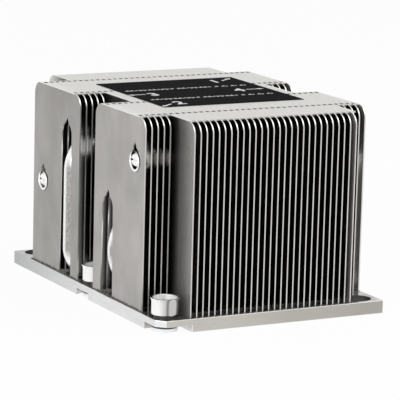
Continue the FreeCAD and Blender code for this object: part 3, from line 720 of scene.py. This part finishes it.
def make_solder():
    """An uneven bead of solder along the foot of each outer plate."""
    chance = random.Random(7)

    def build(shape):
        for node in SIDE_PLATES:
            low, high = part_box(node)
            face, out = (low.x, -1) if low.x < 0 else (high.x, 1)
            y = low.y
            while y < high.y:
                length = chance.uniform(*BEAD_LENGTH) * MM
                thickness = chance.uniform(*BEAD_THICKNESS) * MM
                height = chance.uniform(*BEAD_HEIGHT) * MM
                add_prism(shape, rectangle(face + out * thickness / 2, y + length / 2, thickness, length),
                          plate_top, plate_top + height)
                y += length * chance.uniform(*BEAD_STEP)

    new_piece("solder_bead", mesh_from("solder_bead", build), solder())


# ---------------------------------------------------------------- captive nuts

# materials of a nut, in the order that its mesh gets them
ON_BODY, ON_FOOT, IN_CUP = 0, 1, 2

NUT_SIDES = 72
HEXAGON_FACE = math.pi / 3  # angle that one face of a hexagon takes up
THREAD_BORE = 1.65 * MM
NUT_NECK = 2.4 * MM
NECK_BREAK = 0.15 * MM
NUT_SHOULDER = 3.2 * MM
SHOULDER_RISE = 1.0 * MM
NUT_BODY = 4.225 * MM
BODY_ROUND = 0.55 * MM  # at the foot of the body
FLARE_RISE = 1.4 * MM  # height of the flare under the rim
FLARE_MIDDLE = (0.35, 0.7 * MM)  # share of the flare, and how far below the top
RIM_ROUND = ((0.03 * MM, 0.16 * MM), (0, 0.08 * MM), (0.1 * MM, 0))  # in from the rim, and below the top
NUT_CUP = 3.7 * MM
CUP_DEPTH = 2.3 * MM
CUP_BREAK = 0.16 * MM
CUP_FOOT = ((0.12 * MM, 0.35 * MM), (0.45 * MM, 0))  # in from the cup's wall, and above its floor
SOCKET_APOTHEM = 2.3 * MM
SOCKET_DEPTH = 2.2 * MM
SOCKET_BREAK = 0.25 * MM
SMOOTH_ANGLE = math.radians(32)


def nut_profile(low, high, rim):
    """Rings from the bore's foot round to its top: radius, height, material, whether a hexagon."""
    shoulder_top = plate_top + SHOULDER_RISE
    floor = high - CUP_DEPTH
    flare_share, flare_drop = FLARE_MIDDLE
    foot = [(THREAD_BORE, low), (NUT_NECK - NECK_BREAK, low), (NUT_NECK, low + NECK_BREAK),
            (NUT_NECK, plate_top), (NUT_SHOULDER, plate_top), (NUT_SHOULDER, shoulder_top)]
    body = [(NUT_BODY - BODY_ROUND * (1 - math.sin(turn)), shoulder_top + BODY_ROUND * (1 - math.cos(turn)))
            for turn in turns(QUARTER, ROUND_STEPS)]
    body += [(NUT_BODY, high - FLARE_RISE), (NUT_BODY + (rim - NUT_BODY) * flare_share, high - flare_drop)]
    body += [(rim - inward, high - down) for inward, down in RIM_ROUND]
    cup = [(NUT_CUP + CUP_BREAK, high), (NUT_CUP, high - CUP_BREAK)]
    cup += [(NUT_CUP - inward, floor + up) for inward, up in CUP_FOOT]
    socket = [(SOCKET_APOTHEM + SOCKET_BREAK, floor), (SOCKET_APOTHEM, floor - SOCKET_BREAK),
              (SOCKET_APOTHEM, floor - SOCKET_DEPTH)]
    rings = [(radius, z, ON_FOOT, False) for radius, z in foot]
    rings += [(radius, z, ON_BODY, False) for radius, z in body]
    rings += [(radius, z, IN_CUP, False) for radius, z in cup]
    rings += [(radius, z, IN_CUP, True) for radius, z in socket]
    rings.append((THREAD_BORE, floor - SOCKET_DEPTH, IN_CUP, False))
    return rings


def nut_mesh(name, low, high):
    """One turned nut, as rings round its upright axis."""
    middle = (low + high) / 2
    profile = nut_profile(low.z, high.z, rim=(high.x - low.x) / 2)

    def build(shape):
        rings = []
        for radius, z, _, is_hexagon in profile:
            ring = []
            for angle in full_turn(NUT_SIDES):
                reach = radius
                if is_hexagon:
                    from_flat = (angle + HEXAGON_FACE / 2) % HEXAGON_FACE - HEXAGON_FACE / 2
                    reach = radius / math.cos(from_flat)
                ring.append(shape.verts.new((middle.x + reach * math.cos(angle),
                                             middle.y + reach * math.sin(angle), z)))
            rings.append(ring)
        for (_, _, place, _), ring, following in zip(profile, rings, rings[1:] + rings[:1]):
            for face in bridge(shape, ring, following):
                face.material_index = place

    mesh = mesh_from(name, build)
    mesh.shade_smooth()
    mesh.set_sharp_from_angle(angle=SMOOTH_ANGLE)
    return mesh


def make_nuts():
    """The four nuts in place of the solids, each riding on its own body."""
    plating = plated("plated_steel", colour(190, 190, 189), colour(250, 250, 250), 0.06, 3 * MM, shaded=True)
    foot = shaded_nut_foot()
    cup = plated("cup_steel", colour(200, 199, 197), colour(248, 248, 248), 0.25, 1 * MM, metallic=0.7)
    for number in range(1, NUT_COUNT + 1):
        node = f"captive_nut_{number}"
        nut = new_piece(f"turned_nut_{number}", nut_mesh(f"turned_nut_{number}", *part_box(node)), plating,
                        body=f"nut_{number}")
        nut.data.materials.append(foot)
        nut.data.materials.append(cup)
        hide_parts(node)


# ---------------------------------------------------------------- label print

INK_HEIGHT = 0.02 * MM
DIGIT_HEIGHT = 7.0 * MM
DIGIT_WEIGHT = 0.03  # how much the digits are thickened, as a share of their height
ARROW_LENGTH = 6.5 * MM
ARROW_WIDTH = 0.7 * MM
ARROW_HEAD = (3.2, 1.5)  # length and half width of the head, in widths of the shaft
# shares of the label: digit's across and along, arrow's across, along and direction
LABEL_MARKS = (
    ("1", 0.80, 0.852, 0.915, 0.908, 38),
    ("3", 0.161, 0.474, 0.047, 0.495, 180),
    ("4", 0.781, 0.469, 0.903, 0.479, 0),
    ("2", 0.163, 0.114, 0.045, 0.055, 218),
)
BAR_ROWS = (0.653, 0.282)  # rows of plain bars, as shares of the label's depth
ROW_START = 0.05  # as a share of the label's width
BAR_GROUPS = (22, 16, 2, 3, 3, 3)  # fine bars in each group along a row
GROUP_GAP = 0.95 * MM
BAR_PITCH = 0.8 * MM
BAR_WIDTH = 0.44 * MM
BAR_SHIFT = 0.2 * MM  # every other bar sits this much further back, and the rest forward
BAR_LENGTHS = (0.9 * MM, 1.5 * MM, 1.1 * MM, 1.7 * MM, 0.7 * MM)  # in turn


def label_place(across, along):
    """A place on the label from shares of its width and depth, from its front left corner."""
    return (label_low.x + (label_high.x - label_low.x) * across,
            label_low.y + (label_high.y - label_low.y) * along)


def make_digit(text, across, along):
    """One printed digit, as a thin closed mesh."""
    font = bpy.data.curves.new(f"digit_{text}", "FONT")
    font.body = text
    font.size = DIGIT_HEIGHT
    font.align_x = "CENTER"
    font.align_y = "CENTER"
    font.extrude = INK_HEIGHT / 2
    font.offset = DIGIT_HEIGHT * DIGIT_WEIGHT
    holder = bpy.data.objects.new(f"digit_{text}", font)
    bpy.context.scene.collection.objects.link(holder)
    mesh = bpy.data.meshes.new_from_object(holder)
    x, y = label_place(across, along)
    mesh.transform(Matrix.Translation((x, y, label_high.z)))
    bpy.data.objects.remove(holder)
    return mesh


def arrow_outline(across, along, angle):
    """A slim arrow through a place on the label, pointing along an angle in degrees."""
    end, side = ARROW_LENGTH / 2, ARROW_WIDTH / 2
    neck, barb = end - ARROW_WIDTH * ARROW_HEAD[0], ARROW_WIDTH * ARROW_HEAD[1]
    shape = [(-end, -side), (neck, -side), (neck, -barb), (end, 0), (neck, barb), (neck, side), (-end, side)]
    x, y = label_place(across, along)
    turn = math.radians(angle)
    return [(x + u * math.cos(turn) - v * math.sin(turn), y + u * math.sin(turn) + v * math.cos(turn))
            for u, v in shape]


def make_label_print():
    """The tightening order: four digits with their arrows, and rows of plain bars for the text."""
    ink = label_ink()
    low, high = label_high.z - INK_HEIGHT / 2, label_high.z + INK_HEIGHT / 2

    def build(shape):
        for _, _, _, across, along, angle in LABEL_MARKS:
            add_prism(shape, arrow_outline(across, along, angle), low, high)
        for row in BAR_ROWS:
            x, y = label_place(ROW_START, row)
            for bars in BAR_GROUPS:
                for bar in range(bars):
                    shift = BAR_SHIFT if bar % 2 else -BAR_SHIFT
                    length = BAR_LENGTHS[bar % len(BAR_LENGTHS)]
                    add_prism(shape, rectangle(x, y + shift, BAR_WIDTH, length), low, high)
                    x += BAR_PITCH
                x += GROUP_GAP

    new_piece("label_bars", mesh_from("label_bars", build), ink)
    for text, across, along, *_ in LABEL_MARKS:
        new_piece(f"label_digit_{text}", make_digit(text, across, along), ink)


# ---------------------------------------------------------------- materials on the CAD nodes

# places of the painted pipe reflections on the webs of the split fins
BACK_GLEAM_DROP, BACK_GLEAM_HALF = 5.6 * MM, 2.4 * MM  # below the top of pipe 3, and half its height
FRONT_GLEAM_DROP, FRONT_GLEAM_HALF = 1.8 * MM, 2.2 * MM  # the same for pipe 1


def dress(node, material):
    """Gives a carried-over CAD node its finish."""
    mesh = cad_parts[node].data
    mesh.materials.clear()
    mesh.materials.append(material)


def dress_nodes():
    """Finishes for the fins, the washers and the label, which stay as the frame has them."""
    # painted reflections of pipes 3 and 1, as light patches on the webs of the split fins
    back_gleam = Gleam(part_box("heat_pipe_3")[1].z - BACK_GLEAM_DROP, BACK_GLEAM_HALF,
                       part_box("left_back_fin_2")[0].y, colour(235, 234, 231))
    front_gleam = Gleam(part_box("heat_pipe_1")[1].z - FRONT_GLEAM_DROP, FRONT_GLEAM_HALF,
                        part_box("left_front_fin_2")[0].y, colour(196, 193, 187))
    # painted shade: the webs of the split fins are dark copies of the fin sheet, for the shade deep between
    # them
    shade_tones = (colour(52, 51, 49), colour(66, 65, 62))
    fin = fin_sheet("fin_sheet", colour(150, 148, 145), colour(172, 170, 167), 0.16)
    near_fin = fin_sheet("near_fin_sheet", colour(68, 66, 64), colour(86, 84, 81), 0.16, gleam=front_gleam)
    shaded_fin = fin_sheet("shaded_fin_sheet", *shade_tones, 0.16)
    gleam_fin = fin_sheet("gleam_fin_sheet", *shade_tones, 0.16, gleam=back_gleam)
    # the two end main fins: a lighter copy of the fin sheet, painted light, with painted shade where they pass
    # behind the split fins
    full_fin = fin_sheet("full_fin_sheet", colour(206, 204, 201), colour(226, 224, 221), 0.24,
                         web_metal=0.75, dark_inside=True)
    plate = fin_sheet("plate_sheet", colour(164, 161, 158), colour(182, 179, 176), 0.34, web_metal=0.75)
    # the back plates are a darker copy of the plate sheet: painted shade
    back_plate = fin_sheet("back_plate_sheet", colour(150, 147, 144), colour(168, 165, 162), 0.34,
                           web_metal=0.75)

    finishes = {"nut_washers": nylon(), "top_label": label_film(),
                "main_fin_1": full_fin, f"main_fin_{MAIN_FINS}": full_fin}
    for index in range(2, SPLIT_FINS + 1):
        finishes[f"left_back_fin_{index}"] = gleam_fin
        finishes[f"left_front_fin_{index}"] = near_fin
        finishes[f"right_front_fin_{index - 1}"] = shaded_fin
    finishes.update({node: back_plate if "back" in node else plate for node in SIDE_PLATES})
    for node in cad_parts:
        if not node.startswith(("heat_pipe", "captive_nut", "base_plate")):
            dress(node, finishes.get(node, fin))


# ---------------------------------------------------------------- stage, lights and camera

FLOOR_HALF = 3.0
FLOOR_CELLS = 8
FLOOR_GLOW = 0.94  # share of its own light in what is seen of the floor
FLOOR_WHITE = (0.9, 0.9, 0.9, 1)
AIR_LIGHT = 0.55  # brightness of the air as a light, where 1 is how it is seen
LAMP_DISTANCE = 0.9
LAMP_SIZE = 0.6
LAMP_POWER = 3.0
LAMPS = (("key_lamp", 50, 48), ("side_lamp", -62, 22))  # azimuth and elevation, in degrees

CAMERA_AZIMUTH, CAMERA_ELEVATION, CAMERA_ROLL = (math.radians(angle) for angle in (27.895, 11.123, 1.517))
CAMERA_DISTANCE = 853.1 * MM
CAMERA_AIM = Vector((1.29, -1.33, -3.0)) * MM  # from the object's middle
CAMERA_LENS = 237.65  # focal length in millimetres
CAMERA_NEAR = 0.01

object_middle = (cad_box[0] + cad_box[1]) / 2


def seen_directly(tree):
    """1 for rays from the camera, a mirror or glass, and 0 for the light that the surface gives."""
    path = tree.nodes.new("ShaderNodeLightPath")
    total = path.outputs["Is Camera Ray"]
    for name in ("Is Glossy Ray", "Is Transmission Ray"):
        added = tree.nodes.new("ShaderNodeMath")
        added.operation = "MAXIMUM"
        tree.links.new(total, added.inputs[0])
        tree.links.new(path.outputs[name], added.inputs[1])
        total = added.outputs[0]
    return total


def stage_white():
    """A white floor. The camera and mirrors see it lit from within, and the shadow still shows."""
    material = bpy.data.materials.new("floor_white")
    material.use_nodes = True
    tree = material.node_tree
    tree.nodes.clear()
    output = tree.nodes.new("ShaderNodeOutputMaterial")
    diffuse = tree.nodes.new("ShaderNodeBsdfDiffuse")
    diffuse.inputs["Color"].default_value = FLOOR_WHITE
    emission = tree.nodes.new("ShaderNodeEmission")
    emission.inputs["Strength"].default_value = 1.0
    mixed = tree.nodes.new("ShaderNodeMixShader")
    share = tree.nodes.new("ShaderNodeMath")
    share.operation = "MULTIPLY"
    share.inputs[1].default_value = FLOOR_GLOW
    tree.links.new(seen_directly(tree), share.inputs[0])
    tree.links.new(share.outputs[0], mixed.inputs[0])
    tree.links.new(diffuse.outputs[0], mixed.inputs[1])
    tree.links.new(emission.outputs[0], mixed.inputs[2])
    tree.links.new(mixed.outputs[0], output.inputs["Surface"])
    return material


def make_floor():
    """A large level floor that the object stands on."""
    def build(shape):
        bmesh.ops.create_grid(shape, x_segments=FLOOR_CELLS, y_segments=FLOOR_CELLS, size=FLOOR_HALF)

    floor = bpy.data.objects.new("floor", mesh_from("floor", build))
    floor.location.z = cad_box[0].z
    floor.data.materials.append(stage_white())
    bpy.context.scene.collection.objects.link(floor)


def make_world():
    """Plain studio air: white where it is seen, and softer as a light."""
    world = bpy.data.worlds.new("studio")
    bpy.context.scene.world = world
    world.use_nodes = True
    tree = world.node_tree
    background = tree.nodes["Background"]
    background.inputs["Color"].default_value = (1, 1, 1, 1)
    strength = tree.nodes.new("ShaderNodeMapRange")
    strength.inputs["To Min"].default_value = AIR_LIGHT
    strength.inputs["To Max"].default_value = 1.0
    tree.links.new(seen_directly(tree), strength.inputs["Value"])
    tree.links.new(strength.outputs["Result"], background.inputs["Strength"])


def make_lamp(name, azimuth, elevation):
    """A soft square lamp that faces the object's middle."""
    lamp = bpy.data.lights.new(name, "AREA")
    lamp.shape = "SQUARE"
    lamp.size = LAMP_SIZE
    lamp.energy = LAMP_POWER
    holder = bpy.data.objects.new(name, lamp)
    turn, rise = math.radians(azimuth), math.radians(elevation)
    away = Vector((math.sin(turn) * math.cos(rise), -math.cos(turn) * math.cos(rise), math.sin(rise)))
    holder.location = object_middle + away * LAMP_DISTANCE
    holder.rotation_euler = away.to_track_quat("Z", "Y").to_euler()
    bpy.context.scene.collection.objects.link(holder)


def make_camera():
    """The camera fitted to the photo."""
    forward = Vector((math.sin(CAMERA_AZIMUTH) * math.cos(CAMERA_ELEVATION),
                      math.cos(CAMERA_AZIMUTH) * math.cos(CAMERA_ELEVATION), -math.sin(CAMERA_ELEVATION)))
    lens = bpy.data.cameras.new("camera")
    lens.lens = CAMERA_LENS
    lens.clip_start = CAMERA_NEAR
    camera = bpy.data.objects.new("camera", lens)
    camera.location = object_middle + CAMERA_AIM - forward * CAMERA_DISTANCE
    level = forward.to_track_quat("-Z", "Y").to_matrix()
    camera.rotation_euler = (level @ Matrix.Rotation(CAMERA_ROLL, 3, "Z")).to_euler()
    bpy.context.scene.collection.objects.link(camera)
    bpy.context.scene.camera = camera


def make_stage():
    """Floor, air, lamps and camera, which aren't part of the object."""
    make_floor()
    make_world()
    for lamp in LAMPS:
        make_lamp(*lamp)
    make_camera()
    bpy.context.scene.view_settings.view_transform = "Standard"


dress_nodes()
make_base()
make_solder()
make_pipes()
make_solder_rings()
make_nuts()
make_interlocks()
make_seams()
make_label_print()
make_stage()
